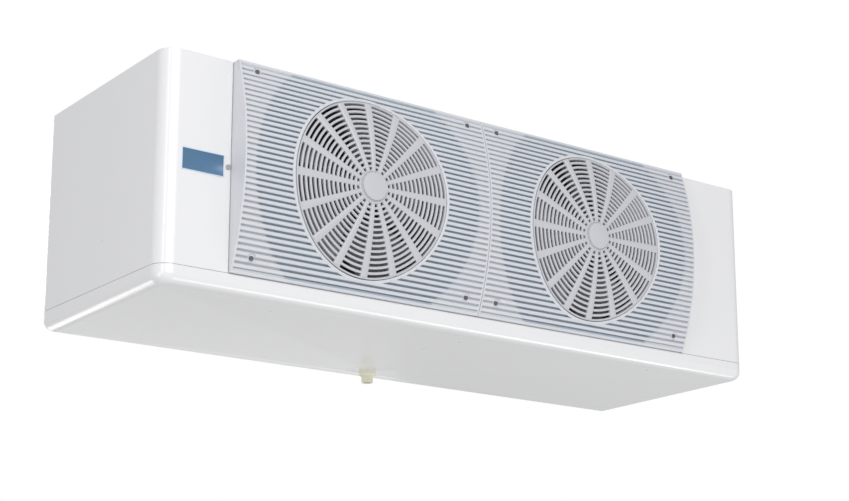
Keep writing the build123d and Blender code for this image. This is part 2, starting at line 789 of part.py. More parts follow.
def impeller(fan_x):
    """Swept blades on a cup that covers the back of the motor."""
    with BuildPart() as wheel:
        for blade in range(blade_count):
            for radius, chord, pitch_angle, sweep_angle in blade_sections:
                angle = math.radians(blade * 360 / blade_count + blade_start_angle + sweep_angle)
                radial = (math.cos(angle), 0, math.sin(angle))
                tangent = (-math.sin(angle), 0, math.cos(angle))
                origin = (fan_x + radius * radial[0], blade_mid_y, fan_z + radius * radial[2])
                with BuildSketch(Plane(origin=origin, x_dir=tangent, z_dir=radial)):
                    Rectangle(chord, blade_thickness, rotation=pitch_angle)
            loft()
        fan_disc(fan_x, blade_tip_radius, Mode.INTERSECT)
        fan_disc(fan_x, cup_radius - cup_wall / 2, Mode.SUBTRACT)
        with BuildPart(mode=Mode.ADD):
            rod((fan_x, cup_front_y, fan_z), (0, 1, 0), cup_radius, cup_length)
            rod((fan_x, cup_front_y, fan_z), (0, 1, 0), cup_radius - cup_wall, cup_length - cup_wall,
                Mode.SUBTRACT)
            rod((fan_x, cup_rear_y - boss_length, fan_z), (0, 1, 0), boss_radius, boss_length)
            fan_disc(fan_x, shaft_radius + seat_clearance, Mode.SUBTRACT)
    return wheel


for side, fan_x in fan_centres.items():
    panel_low = cover_edge_left if side == "left" else panel_split_x
    pieces[f"fan_plate_{side}"] = fan_plate(fan_x, *plate_edges[side])
    pieces[f"bell_mouth_{side}"] = bell_mouth(fan_x)
    pieces[f"louvre_panel_{side}"] = louvre_panel(
        fan_x, panel_low + panel_gap / 2, panel_low + panel_pitch - panel_gap / 2
    )
    pieces[f"fan_guard_{side}"] = fan_guard(fan_x)
    pieces[f"guard_cap_{side}"] = guard_cap(fan_x)
    pieces[f"motor_{side}"] = motor(fan_x)
    pieces[f"motor_bearings_{side}"] = bearings(fan_x)
    pieces[f"motor_shaft_{side}"] = motor_shaft(fan_x)
    pieces[f"shaft_circlip_{side}"] = shaft_circlip(fan_x)
    pieces[f"impeller_{side}"] = impeller(fan_x)

with BuildPart() as motor_screws:
    for fan_x in fan_centres.values():
        for x, z in motor_screw_places(fan_x):
            length = hub_boss_length + screw_length - bearing_end_gap
            screw((x, hub_front_y, z), (0, -1, 0), length=length)
pieces["motor_screws"] = motor_screws

with BuildPart() as louvre_panel_screws:
    for fan_x in fan_centres.values():
        for side in (-1, 1):
            for z in (-panel_screw_top, bottom_z + panel_screw_bottom):
                length = plate_back_y + 2 * sheet - screw_seat_y(z)
                screw((fan_x + side * panel_screw_reach, screw_seat_y(z), z), (0, -1, 0), length=length)
pieces["louvre_panel_screws"] = louvre_panel_screws


# ---- Coil ---------------------------------------------------------------------------------------
fin_low, fin_high = inner_left + fin_end_gap, inner_right - fin_end_gap
fin_count = int((fin_high - fin_low) / fin_pitch) + 1
fin_places = [
    ((fin_low + fin_high) / 2 + (i - (fin_count - 1) / 2) * fin_pitch,
     (coil_front_y + coil_rear_y) / 2, coil_top_z - coil_height / 2)
    for i in range(fin_count)
]
with BuildPart() as coil_fins:
    with Locations(fin_places):
        Box(fin_thickness, coil_rear_y - coil_front_y, coil_height)
pieces["coil_fins"] = coil_fins

with BuildPart() as coil_tubes:
    with BuildSketch(Plane.YZ.offset(tube_left_x)):
        with Locations(tube_places):
            Circle(tube_radius)
            Circle(tube_radius - tube_wall, mode=Mode.SUBTRACT)
    extrude(amount=tube_right_x - tube_left_x)
pieces["coil_tubes"] = coil_tubes


def return_bends(face_x, turn, first_step):
    """Half-turn bends that join each tube to the one below it in the same row."""
    with BuildPart() as bends:
        for row, y in enumerate(row_places):
            for step in range(first_step, tubes_per_row - 1, 2):
                z = first_tube_z[row] - step * tube_pitch
                with BuildSketch(Plane.YZ.offset(face_x)):
                    with Locations((y, z)):
                        Circle(tube_radius)
                        Circle(tube_radius - tube_wall, mode=Mode.SUBTRACT)
                bend_axis = Axis((face_x, y, z - tube_pitch / 2), (0, turn, 0))
                revolve(axis=bend_axis, revolution_arc=180)
    return bends


pieces["return_bends_left"] = return_bends(tube_left_x, -1, 0)
pieces["return_bends_right"] = return_bends(tube_right_x, 1, 1)

header_front_y = row_places[0] - header_overhang
header_rear_y = row_places[-1] + header_overhang
with BuildPart() as suction_header:
    rod((header_x, header_front_y, header_z), (0, 1, 0), header_radius, header_rear_y - header_front_y)
    for y, z in zip(row_places, first_tube_z):
        rod((tube_right_x, y, z), (1, 0, 0), tube_radius, header_x - tube_right_x)
    rod((header_x, header_front_y + header_wall, header_z), (0, 1, 0), header_radius - header_wall,
        header_rear_y - header_front_y - 2 * header_wall, Mode.SUBTRACT)
    for y, z in zip(row_places, first_tube_z):
        rod((tube_right_x, y, z), (1, 0, 0), tube_radius - tube_wall, header_x - tube_right_x, Mode.SUBTRACT)
    gas_bore_radius = gas_pipe_radius - pipe_wall
    rod((header_x, header_rear_y, header_z), (0, -1, 0), gas_bore_radius, header_wall, Mode.SUBTRACT)
pieces["suction_header"] = suction_header

with BuildPart() as gas_connection:
    gas_length = rear_y + pipe_reach - header_rear_y
    rod((header_x, header_rear_y, header_z), (0, 1, 0), gas_pipe_radius, gas_length)
    rod((header_x, header_rear_y, header_z), (0, 1, 0), gas_bore_radius, gas_length, Mode.SUBTRACT)
pieces["gas_connection"] = gas_connection

distributor_top = distributor_bottom + distributor_height
with BuildPart() as distributor:
    with BuildSketch(Plane.XY.offset(distributor_bottom)):
        with Locations((distributor_x, distributor_y)):
            Circle(distributor_radius)
    with BuildSketch(Plane.XY.offset(distributor_top)):
        with Locations((distributor_x, distributor_y)):
            Circle(liquid_pipe_radius + pipe_wall)
    loft()
pieces["distributor"] = distributor

with BuildPart() as feeder_tubes:
    for row, (y, first_z) in enumerate(zip(row_places, first_tube_z)):
        x = distributor_x + feeder_spacing * (1 if row % 2 else -1)
        y_end = distributor_y + feeder_spacing * (1 if row >= row_count / 2 else -1)
        z = first_z - (tubes_per_row - 1) * tube_pitch
        route = [(tube_right_x, y, z), (x, y, z), (x, y_end, distributor_bottom - feeder_lead),
                 (x, y_end, distributor_bottom)]
        add(pipe_run(route, feeder_radius, feeder_wall, feeder_bend_radius))
pieces["feeder_tubes"] = feeder_tubes

with BuildPart() as liquid_connection:
    route = [(distributor_x, distributor_y, distributor_top), (distributor_x, distributor_y, liquid_pipe_z),
             (distributor_x, rear_y + pipe_reach, liquid_pipe_z)]
    add(pipe_run(route, liquid_pipe_radius, pipe_wall, pipe_bend_radius))
pieces["liquid_connection"] = liquid_connection

with BuildPart() as pipe_grommets:
    for x, z, pipe_radius in (
        (header_x, header_z, gas_pipe_radius),
        (distributor_x, liquid_pipe_z, liquid_pipe_radius),
    ):
        start = (x, rear_y - sheet - grommet_lip_thickness, z)
        width = sheet + 2 * grommet_lip_thickness
        lip_radius = pipe_radius + grommet_wall + grommet_lip
        rod((x, rear_y - sheet, z), (0, 1, 0), pipe_radius + grommet_wall, sheet)
        for y in (rear_y - sheet - grommet_lip_thickness, rear_y):
            rod((x, y, z), (0, 1, 0), lip_radius, grommet_lip_thickness)
        rod(start, (0, 1, 0), pipe_radius + pipe_grommet_clearance, width, Mode.SUBTRACT)
pieces["pipe_grommets"] = pipe_grommets


# ---- Electrical ------------------------------------------------------------------------------------
box_low = (end_plate_left - box_depth, box_front_y, -box_drop - box_height)
box_high = (end_plate_left, box_front_y + box_width, -box_drop)
lid_screw_places = [
    (y, z)
    for y in (box_low[1] + 2 * box_wall, box_high[1] - 2 * box_wall)
    for z in (box_low[2] + 2 * box_wall, box_high[2] - 2 * box_wall)
]
with BuildPart() as junction_box:
    block(box_low, box_high)
    block(
        (box_low[0], box_low[1] + box_wall, box_low[2] + box_wall),
        (box_high[0] - box_wall, box_high[1] - box_wall, box_high[2] - box_wall),
        Mode.SUBTRACT,
    )
    for y, z in lid_screw_places:
        rod((box_low[0], y, z), (1, 0, 0), box_wall + screw_radius, screw_length + box_wall)
        drill((box_low[0], y, z), (-1, 0, 0), screw_length, screw_radius + seat_clearance)
    for z in lead_heights:
        drill((box_high[0], lead_plenum_y, z), (1, 0, 0), box_wall, lead_radius + lead_hole_clearance)
pieces["junction_box"] = junction_box

with BuildPart() as junction_box_lid:
    block((box_low[0] - lid_thickness, *box_low[1:]), (box_low[0], *box_high[1:]))
    for y, z in lid_screw_places:
        drill((box_low[0] - lid_thickness, y, z), (-1, 0, 0), lid_thickness)
pieces["junction_box_lid"] = junction_box_lid

with BuildPart() as junction_box_screws:
    for y, z in lid_screw_places:
        screw((box_low[0] - lid_thickness, y, z), (-1, 0, 0))
pieces["junction_box_screws"] = junction_box_screws

lead_end_x = end_plate_left - box_wall - lead_bend_radius
with BuildPart() as fan_leads:
    left_start = fan_centres["left"] - motor_radius
    left_turn = fan_centres["left"] - lead_reach
    add(pipe_run(
        [(left_start, lead_front_y, lead_heights[1]), (left_turn, lead_front_y, lead_heights[1]),
         (left_turn, lead_plenum_y, lead_heights[1]), (lead_end_x, lead_plenum_y, lead_heights[1])],
        lead_radius, lead_radius / 2, lead_bend_radius,
    ))
    right_start = fan_centres["right"] - motor_radius
    right_turn = fan_centres["right"] - lead_reach
    floor_z = frame_bottom_z + lead_floor_gap
    rise_x = inner_left + 2 * lead_bend_radius
    add(pipe_run(
        [(right_start, lead_front_y, lead_heights[1]), (right_turn, lead_front_y, lead_heights[1]),
         (right_turn, lead_plenum_y, lead_heights[1]), (right_turn, lead_plenum_y, floor_z),
         (rise_x, lead_plenum_y, floor_z), (rise_x, lead_plenum_y, lead_heights[0]),
         (lead_end_x, lead_plenum_y, lead_heights[0])],
        lead_radius, lead_radius / 2, lead_bend_radius / 2,
    ))
pieces["fan_leads"] = fan_leads

with BuildPart() as cable_gland:
    gx, gy, gz = gland_place
    thread_length = gland_inside_length + sheet
    rod((gx, gy - thread_length, gz), (0, 1, 0), gland_thread_radius, thread_length)
    with BuildSketch(Plane(origin=gland_place, z_dir=(0, 1, 0))):
        RegularPolygon(gland_hex_radius, 6)
    extrude(amount=gland_hex_thickness)
    rod((gx, gy + gland_hex_thickness, gz), (0, 1, 0), gland_dome_radius, gland_dome_length)
    fillet(cable_gland.edges().filter_by(GeomType.CIRCLE).group_by(Axis.Y)[-1], gland_dome_round)
    with BuildSketch(Plane(origin=(gx, gy - sheet, gz), z_dir=(0, -1, 0))):
        RegularPolygon(gland_hex_radius, 6)
        Circle(gland_thread_radius + seat_clearance, mode=Mode.SUBTRACT)
    extrude(amount=gland_nut_thickness)
    gland_length = gland_inside_length + sheet + gland_hex_thickness + gland_dome_length
    rod((gx, gy - sheet - gland_inside_length, gz), (0, 1, 0), gland_bore_radius, gland_length, Mode.SUBTRACT)
pieces["cable_gland"] = cable_gland


# ---- Cover screws and nameplate -----------------------------------------------------------------
with BuildPart() as end_cover_screws:
    for x in (front_screw_x, right_screw_x):
        screw((x, front_y, -cover_screw_drop), (0, -1, 0))
        for z in (-rear_screw_margin, bottom_z + rear_screw_margin):
            screw((x, rear_y, z), (0, 1, 0))
pieces["end_cover_screws"] = end_cover_screws

with BuildPart() as nameplate:
    block(
        (left_x + plate_inset, front_y - plate_thickness, -plate_drop - plate_height),
        (left_x + plate_inset + plate_length, front_y, -plate_drop),
    )
    fillet(nameplate.edges().filter_by(Axis.Y), 2 * plate_thickness)
pieces["nameplate"] = nameplate


# ---- Drip tray -------------------------------------------------------------------------------------
def tray_form(inset):
    """Solid with the tray's outside shape, moved in by inset on every face but the top."""
    side_x, side_front, side_rear = left_x + inset, front_y + inset, rear_y - inset
    tilt = math.degrees(math.atan2(tray_rear_depth - tray_front_depth, casing_depth))
    rim_front = bottom_z - tray_front_depth + inset
    rim_rear = bottom_z - tray_rear_depth + inset
    with BuildPart() as form:
        with BuildSketch(Plane.YZ.offset(side_x)):
            with BuildLine():
                Polyline((side_front, tray_top_z), (side_rear, tray_top_z), (side_rear, rim_rear),
                         (side_front, rim_front), close=True)
            make_face()
        extrude(amount=casing_length - 2 * inset)
        uprights = form.edges().filter_by(Axis.Z).group_by(Axis.Y)
        fillet(uprights[0], front_corner_radius - inset)
        uprights = form.edges().filter_by(Axis.Z).group_by(Axis.Y)
        fillet(uprights[-1], rear_corner_radius - inset)
        underside = form.faces().sort_by(Axis.Z)[0]
        fillet(underside.edges(), tray_edge_radius - inset)
        base_z = (rim_front + rim_rear) / 2
        pad_depth = base_z - (drain_z + inset) - (drain_y + drain_pad_size / 2) * math.tan(math.radians(tilt))
        base = Plane(origin=(0, 0, base_z)).rotated((-tilt, 0, 0))
        crease = tray_edge_radius + tray_crease_inset / 2
        with BuildSketch(base):
            Rectangle(casing_length - 2 * crease, casing_depth - 2 * crease)
        with BuildSketch(base.offset(-pad_depth)):
            with Locations((drain_x, drain_y)):
                Rectangle(drain_pad_size, drain_pad_size)
        loft(ruled=True)
    return form.part


with BuildPart() as drip_tray:
    add(tray_form(0))
    rod((drain_x, drain_y, drain_z), (0, 0, 1), drain_boss_radius, tray_wall + seal_thickness)
    add(tray_form(tray_wall), mode=Mode.SUBTRACT)
    rod((drain_x, drain_y, drain_z + tray_wall), (0, 0, 1), drain_boss_radius - tray_wall, drain_drop,
        Mode.SUBTRACT)
    rod((drain_x, drain_y, drain_z), (0, 0, 1), drain_hole_radius, drain_drop, Mode.SUBTRACT)
pieces["drip_tray"] = drip_tray

with BuildPart() as drain_seal:
    rod((drain_x, drain_y, drain_z + tray_wall), (0, 0, 1), spigot_flange_radius, seal_thickness)
    rod((drain_x, drain_y, drain_z + tray_wall), (0, 0, 1), drain_hole_radius, seal_thickness, Mode.SUBTRACT)
pieces["drain_seal"] = drain_seal

flange_z = drain_z + tray_wall + seal_thickness
with BuildPart() as drain_spigot:
    thread_z = drain_z - drain_nut_height
    rod((drain_x, drain_y, thread_z), (0, 0, 1), spigot_thread_radius, flange_z - thread_z)
    rod((drain_x, drain_y, drain_z - spigot_length), (0, 0, 1), spigot_radius, spigot_length)
    rod((drain_x, drain_y, flange_z), (0, 0, 1), spigot_flange_radius, spigot_flange_thickness)
    rod((drain_x, drain_y, drain_z - spigot_length), (0, 0, 1), spigot_bore_radius,
        spigot_length + drain_drop, Mode.SUBTRACT)
pieces["drain_spigot"] = drain_spigot

with BuildPart() as drain_nut:
    rod((drain_x, drain_y, drain_z), (0, 0, -1), drain_nut_radius, drain_nut_height)
    chamfer(drain_nut.edges().filter_by(GeomType.CIRCLE).group_by(Axis.Z)[0], sheet)
    rod((drain_x, drain_y, drain_z), (0, 0, -1), spigot_thread_radius + seat_clearance, drain_nut_height,
        Mode.SUBTRACT)
pieces["drain_nut"] = drain_nut

with BuildPart() as hinge_eyes:
    for x in hinge_places:
        low_x, high_x = x - hinge_eye_width / 2, x + hinge_eye_width / 2
        rod((low_x, hinge_y, hinge_z), (1, 0, 0), hinge_eye_radius, hinge_eye_width)
        plate_top = hinge_z + hinge_plate_height
        block((low_x, rear_y, hinge_z), (high_x, rear_y + hinge_plate_thickness, plate_top))
        block((low_x, rear_y, hinge_z), (high_x, hinge_y, hinge_z + hinge_eye_radius))
        rod((low_x, hinge_y, hinge_z), (1, 0, 0), hinge_pin_radius + hinge_running_clearance,
            hinge_eye_width, Mode.SUBTRACT)
pieces["hinge_eyes"] = hinge_eyes

ear_inner = hinge_eye_width / 2 + hinge_ear_gap
ear_outer = ear_inner + hinge_ear_thickness
lug_top = hinge_z - hinge_eye_radius - hinge_ear_gap
lug_low = lug_top - hinge_plate_height / 2
with BuildPart() as hinge_lugs:
    for x in hinge_places:
        block((x - ear_outer, rear_y, lug_low), (x + ear_outer, rear_y + hinge_plate_thickness, lug_top))
        for low, high in ((-ear_outer, -ear_inner), (ear_inner, ear_outer)):
            rod((x + low, hinge_y, hinge_z), (1, 0, 0), hinge_eye_radius, hinge_ear_thickness)
            block((x + low, rear_y, lug_low), (x + high, hinge_y + hinge_pin_radius, lug_top))
            ear_front, ear_rear = hinge_y - hinge_pin_radius, hinge_y + hinge_pin_radius
            block((x + low, ear_front, lug_top), (x + high, ear_rear, hinge_z))
        rod((x - ear_outer, hinge_y, hinge_z), (1, 0, 0), hinge_pin_radius + seat_clearance,
            2 * ear_outer, Mode.SUBTRACT)
pieces["hinge_lugs"] = hinge_lugs

with BuildPart() as hinge_pins:
    for x in hinge_places:
        rod((x - ear_outer, hinge_y, hinge_z), (1, 0, 0), hinge_pin_radius, 2 * ear_outer)
pieces["hinge_pins"] = hinge_pins

wall_y = front_y + tray_wall
arm_z = tray_top_z - 2 * catch_arm_thickness
with BuildPart() as catch_studs:
    for x in catch_places:
        low_x, high_x = x - catch_arm_width / 2, x + catch_arm_width / 2
        block((low_x, wall_y, arm_z - catch_arm_thickness), (high_x, wall_y + catch_arm_length, arm_z))
        block((low_x, wall_y, arm_z - catch_arm_height), (high_x, wall_y + catch_arm_thickness, arm_z))
        rod((x, catch_y, arm_z), (0, 0, 1), catch_stud_radius, catch_stud_height)
        with Locations((x, catch_y, arm_z + catch_stud_height)):
            Sphere(catch_ball_radius)
pieces["catch_studs"] = catch_studs

clip_z = frame_bottom_z + sheet
with BuildPart() as catch_clips:
    for x in catch_places:
        for side in (-1, 1):
            near = side * (catch_ball_radius + catch_clearance)
            far = near + side * clip_wall
            low_x, high_x = x + min(near, far), x + max(near, far)
            low_y, high_y = catch_y - clip_width / 2, catch_y + clip_width / 2
            block((low_x, low_y, clip_z), (high_x, high_y, clip_z + clip_height))
        far = catch_ball_radius + catch_clearance + clip_wall
        block((x - far, catch_y - clip_width / 2, clip_z + clip_height),
              (x + far, catch_y + clip_width / 2, clip_z + clip_height + clip_wall))
pieces["catch_clips"] = catch_clips


# ---- One STEP file for each piece ---------------------------------------------------------------
os.makedirs("parts", exist_ok=True)
for name, piece in pieces.items():
    piece.part.label = name
    export_step(piece.part, f"parts/{name}.step")
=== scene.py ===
import bpy
import json
import math
import numpy as np
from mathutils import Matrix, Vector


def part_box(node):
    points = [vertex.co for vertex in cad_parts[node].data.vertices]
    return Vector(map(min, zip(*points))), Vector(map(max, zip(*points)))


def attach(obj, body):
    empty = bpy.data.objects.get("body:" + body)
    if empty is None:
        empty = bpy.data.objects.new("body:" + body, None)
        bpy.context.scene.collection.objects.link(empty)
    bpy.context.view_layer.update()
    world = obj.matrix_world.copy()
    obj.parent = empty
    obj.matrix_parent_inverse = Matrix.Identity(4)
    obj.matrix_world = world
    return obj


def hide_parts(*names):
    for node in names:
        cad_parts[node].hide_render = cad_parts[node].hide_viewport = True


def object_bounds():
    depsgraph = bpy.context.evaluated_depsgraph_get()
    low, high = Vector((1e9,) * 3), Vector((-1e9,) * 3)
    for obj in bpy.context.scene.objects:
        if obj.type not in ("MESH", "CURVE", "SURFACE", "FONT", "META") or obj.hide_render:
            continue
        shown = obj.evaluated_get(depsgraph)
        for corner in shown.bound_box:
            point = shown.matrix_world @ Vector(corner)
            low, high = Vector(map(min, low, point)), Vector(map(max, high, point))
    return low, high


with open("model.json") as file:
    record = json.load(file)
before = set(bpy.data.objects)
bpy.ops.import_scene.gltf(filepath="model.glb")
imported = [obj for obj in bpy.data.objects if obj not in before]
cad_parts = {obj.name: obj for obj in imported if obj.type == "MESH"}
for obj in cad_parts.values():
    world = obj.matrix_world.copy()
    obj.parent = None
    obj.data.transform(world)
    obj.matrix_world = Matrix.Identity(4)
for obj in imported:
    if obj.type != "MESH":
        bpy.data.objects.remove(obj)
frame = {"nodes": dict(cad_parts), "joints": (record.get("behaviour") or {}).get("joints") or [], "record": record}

cad_low, cad_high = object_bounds()
nodes = frame["nodes"]
scene = bpy.context.scene
MM = 0.001


# ---- Places read from the frame ----------------------------------------------------------------
def node_box(name):
    low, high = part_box(name)
    return tuple(low), tuple(high)


def node_slots():
    """Material slot of each CAD node, as the record gives them."""
    return {entry["node"]: entry["material_slot"] for entry in frame["record"]["subparts"]}


slot_of = node_slots()
joint_places = {joint["child"]: joint["pos_m"] for joint in frame["joints"]}
fan_axis = {}
for side in ("left", "right"):
    axis_x, _, axis_z = joint_places[f"fan_{side}"]
    fan_axis[side] = (axis_x, axis_z)
cover_low, _ = node_box("end_cover_left")
front_y = cover_low[1]
panel_box = {side: node_box(f"louvre_panel_{side}") for side in fan_axis}
panel_top = panel_box["left"][1][2]
panel_bottom = panel_box["left"][0][2]
panel_back = panel_box["left"][1][1]


# ---- Camera ------------------------------------------------------------------------------------
camera_place = (-1.7026, -2.3123, -0.9681)
camera_yaw = 0.6390
camera_pitch = 0.2244
lens_length = 74.98
sensor_width = 36
view_depth = 200

camera_data = bpy.data.cameras.new("camera")
camera = bpy.data.objects.new("camera", camera_data)
scene.collection.objects.link(camera)
scene.camera = camera
camera.location = camera_place
camera.rotation_euler = (math.pi / 2 + camera_pitch, 0, -camera_yaw)
camera_data.lens = lens_length
camera_data.sensor_width = sensor_width
camera_data.shift_y = 0.1
camera_data.clip_end = view_depth


# ---- World and lights --------------------------------------------------------------------------
sky_tint = (0.985, 0.99, 1.0, 1)
sky_below, sky_above = 0.40, 0.62


def studio_world():
    """Soft light that is stronger from above, with a plain white backdrop for the camera."""
    world = bpy.data.worlds.new("studio")
    scene.world = world
    world.use_nodes = True
    tree = world.node_tree
    new, link = tree.nodes.new, tree.links.new
    place = new("ShaderNodeTexCoord")
    split = new("ShaderNodeSeparateXYZ")
    link(place.outputs["Generated"], split.inputs["Vector"])
    ramp = new("ShaderNodeMapRange")
    ramp.inputs["From Min"].default_value = -1.0
    ramp.inputs["From Max"].default_value = 1.0
    ramp.inputs["To Min"].default_value = sky_below
    ramp.inputs["To Max"].default_value = sky_above
    link(split.outputs["Z"], ramp.inputs["Value"])
    soft_light = tree.nodes["Background"]
    soft_light.inputs["Color"].default_value = sky_tint
    link(ramp.outputs["Result"], soft_light.inputs["Strength"])
    backdrop = new("ShaderNodeBackground")
    backdrop.inputs["Color"].default_value = (1.0, 1.0, 1.0, 1)
    backdrop.inputs["Strength"].default_value = 1.0
    rays = new("ShaderNodeLightPath")
    either = new("ShaderNodeMixShader")
    link(rays.outputs["Is Camera Ray"], either.inputs["Fac"])
    link(soft_light.outputs["Background"], either.inputs[1])
    link(backdrop.outputs["Background"], either.inputs[2])
    link(either.outputs["Shader"], tree.nodes["World Output"].inputs["Surface"])


def area_light(name, place, target, size, energy):
    """Rectangular lamp that faces a target; its size in metres and its energy in watts."""
    data = bpy.data.lights.new(name, "AREA")
    data.shape = "RECTANGLE"
    data.size, data.size_y = size
    data.energy = energy
    lamp = bpy.data.objects.new(name, data)
    scene.collection.objects.link(lamp)
    lamp.location = place
    aim = np.array(target, float) - np.array(place, float)
    tilt = math.atan2(math.hypot(aim[0], aim[1]), -aim[2])
    lamp.rotation_euler = (tilt, 0, math.atan2(aim[1], aim[0]) - math.pi / 2)


scene.view_settings.view_transform = "Standard"
studio_world()
middle = tuple((cad_low[i] + cad_high[i]) / 2 for i in range(3))
front_corner = (cover_low[0], front_y, middle[2])
front_edge = (middle[0], front_y, cad_low[2])
left_edge = (cover_low[0], 0, cad_low[2])
area_light("front_light", (-1.0, -3.1, 0.9), middle, (2.4, 1.2), 47)
area_light("corner_light", (-2.95, -2.0, 0.35), front_corner, (0.4, 2.0), 13)
area_light("edge_light", (1.1, -1.16, -1.86), front_edge, (2.6, 0.2), 16)
area_light("low_light", (-3.2, -0.9, -1.05), middle, (0.8, 0.8), 12)
area_light("rim_light", (-1.2, 2.3, -1.5), left_edge, (1.6, 0.5), 10)
area_light("back_light", (0.6, 3.0, 0.9), middle, (2.4, 1.0), 34)
area_light("underside_light", (0.6, 2.8, -0.6), middle, (2.4, 1.0), 3.4)


# ---- Node materials ----------------------------------------------------------------------------
materials = {}
coat_roughness = 0.2
cell_contrast = 0.22
gloss_per_blotch = 7
least_roughness = 0.02


def linear(rgb):
    """Linear colour of a display colour."""
    return tuple((c / 12.92 if c <= 0.04045 else ((c + 0.055) / 1.055) ** 2.4) for c in rgb)


def finish(name, rgb, rough, metallic=0.0, tone=0.03, blotch=9.0, grain=600.0, bump=0.02,
           rough_spread=0.05, stretch=(1, 1, 1), cells=None, coat=0.0):
    """Painted, moulded or metal surface: colour drift, uneven gloss and fine surface relief in mm."""
    mat = bpy.data.materials.new(name)
    mat.use_nodes = True
    tree = mat.node_tree
    new, link = tree.nodes.new, tree.links.new
    shader = tree.nodes["Principled BSDF"]
    place = new("ShaderNodeTexCoord")
    scale = new("ShaderNodeMapping")
    scale.inputs["Scale"].default_value = stretch
    link(place.outputs["Object"], scale.inputs["Vector"])
    drift = new("ShaderNodeTexNoise")
    drift.inputs["Scale"].default_value = blotch
    drift.inputs["Detail"].default_value = 5
    link(scale.outputs["Vector"], drift.inputs["Vector"])
    colour = new("ShaderNodeMix")
    colour.data_type = "RGBA"
    base = linear(rgb)
    colour.inputs["A"].default_value = tuple(max(0, c * (1 - tone)) for c in base) + (1,)
    colour.inputs["B"].default_value = tuple(min(1, c * (1 + tone)) for c in base) + (1,)
    link(drift.outputs["Fac"], colour.inputs["Factor"])
    last = colour.outputs["Result"]
    if cells:
        crystal = new("ShaderNodeTexVoronoi")
        crystal.inputs["Scale"].default_value = cells
        link(scale.outputs["Vector"], crystal.inputs["Vector"])
        shade = new("ShaderNodeMix")
        shade.data_type = "RGBA"
        shade.blend_type = "MULTIPLY"
        shade.inputs["Factor"].default_value = cell_contrast
        link(last, shade.inputs["A"])
        link(crystal.outputs["Color"], shade.inputs["B"])
        last = shade.outputs["Result"]
    link(last, shader.inputs["Base Color"])
    gloss = new("ShaderNodeTexNoise")
    gloss.inputs["Scale"].default_value = blotch * gloss_per_blotch
    gloss.inputs["Detail"].default_value = 3
    link(scale.outputs["Vector"], gloss.inputs["Vector"])
    span = new("ShaderNodeMapRange")
    span.inputs["To Min"].default_value = max(least_roughness, rough - rough_spread)
    span.inputs["To Max"].default_value = min(1, rough + rough_spread)
    link(gloss.outputs["Fac"], span.inputs["Value"])
    link(span.outputs["Result"], shader.inputs["Roughness"])
    relief = new("ShaderNodeTexNoise")
    relief.inputs["Scale"].default_value = grain
    relief.inputs["Detail"].default_value = 2
    link(scale.outputs["Vector"], relief.inputs["Vector"])
    height = new("ShaderNodeBump")
    height.inputs["Strength"].default_value = 1.0
    height.inputs["Distance"].default_value = bump * MM
    link(relief.outputs["Fac"], height.inputs["Height"])
    link(height.outputs["Normal"], shader.inputs["Normal"])
    shader.inputs["Metallic"].default_value = metallic
    shader.inputs["Coat Weight"].default_value = coat
    shader.inputs["Coat Roughness"].default_value = coat_roughness
    materials[name] = mat


finish("white_paint", (0.90, 0.90, 0.905), 0.30, tone=0.008, blotch=6, grain=420, bump=0.008, coat=0.6)
finish("louvre_grey", (0.82, 0.827, 0.845), 0.40, tone=0.02, blotch=14, grain=1500, bump=0.015)
# The next three greys are painted shade on the louvres: on the crests over the fan, on the groove floors away from
# it, and on the groove floors over the fan, where they stand in for the dark inside seen through the slots.
finish("louvre_open_painted_shade", (0.80, 0.815, 0.84), 0.44, tone=0.03, blotch=14, grain=1500, bump=0.015)
finish("groove_painted_shade", (0.76, 0.775, 0.80), 0.5, tone=0.06, blotch=16, grain=1500, bump=0.015)
finish("slot_shade", (0.68, 0.712, 0.75), 0.6, tone=0.10, blotch=20, grain=900, bump=0.02)
finish("guard_grey", (0.76, 0.763, 0.785), 0.38, tone=0.02, blotch=16, grain=1500, bump=0.015)
finish("blade_grey", (0.60, 0.605, 0.63), 0.34, tone=0.04, blotch=18, grain=1200, bump=0.02)
finish("galvanised", (0.62, 0.64, 0.66), 0.42, metallic=0.9, tone=0.08, cells=150, grain=500, bump=0.01)
finish("zinc_fastener", (0.70, 0.70, 0.69), 0.32, metallic=1.0, tone=0.08, blotch=90, grain=2500,
       bump=0.01)
finish("dark_fastener", (0.42, 0.43, 0.45), 0.40, metallic=0.6, tone=0.15, blotch=90, grain=2500,
       bump=0.01)
finish("fin_aluminium", (0.86, 0.87, 0.885), 0.42, metallic=0.55, tone=0.10, blotch=30, grain=260,
       bump=0.06, stretch=(1, 1, 0.2))
finish("copper", (0.80, 0.49, 0.36), 0.34, metallic=0.85, tone=0.18, blotch=26, grain=700, bump=0.02)
finish("brass", (0.78, 0.63, 0.36), 0.30, metallic=1.0, tone=0.12, blotch=40, grain=900, bump=0.02)
finish("black_rubber", (0.07, 0.07, 0.075), 0.62, tone=0.2, blotch=60, grain=1800, bump=0.03)
finish("grey_plastic", (0.62, 0.63, 0.65), 0.45, tone=0.03, blotch=20, grain=1600, bump=0.02)
finish("black_plastic", (0.06, 0.06, 0.065), 0.42, tone=0.2, blotch=40, grain=1600, bump=0.02)
finish("blue_plate", (0.30, 0.45, 0.585), 0.34, tone=0.05, blotch=30, grain=900, bump=0.01, coat=0.4)
finish("plate_border", (0.80, 0.86, 0.93), 0.34, tone=0.03, blotch=30, grain=900, bump=0.01, coat=0.4)
finish("cream_plastic", (0.93, 0.92, 0.84), 0.36, tone=0.03, blotch=50, grain=1400, bump=0.02)
finish("dark_plate", (0.24, 0.25, 0.27), 0.5, tone=0.10, blotch=24, grain=900, bump=0.02)
finish("motor_black", (0.10, 0.10, 0.11), 0.48, tone=0.15, blotch=30, grain=900, bump=0.04)
finish("bearing_steel", (0.72, 0.73, 0.74), 0.2, metallic=1.0, tone=0.06, blotch=80, grain=3000,
       bump=0.005)
finish("floor_paper", (0.96, 0.96, 0.955), 0.8, tone=0.01, blotch=2, grain=200, bump=0.02)


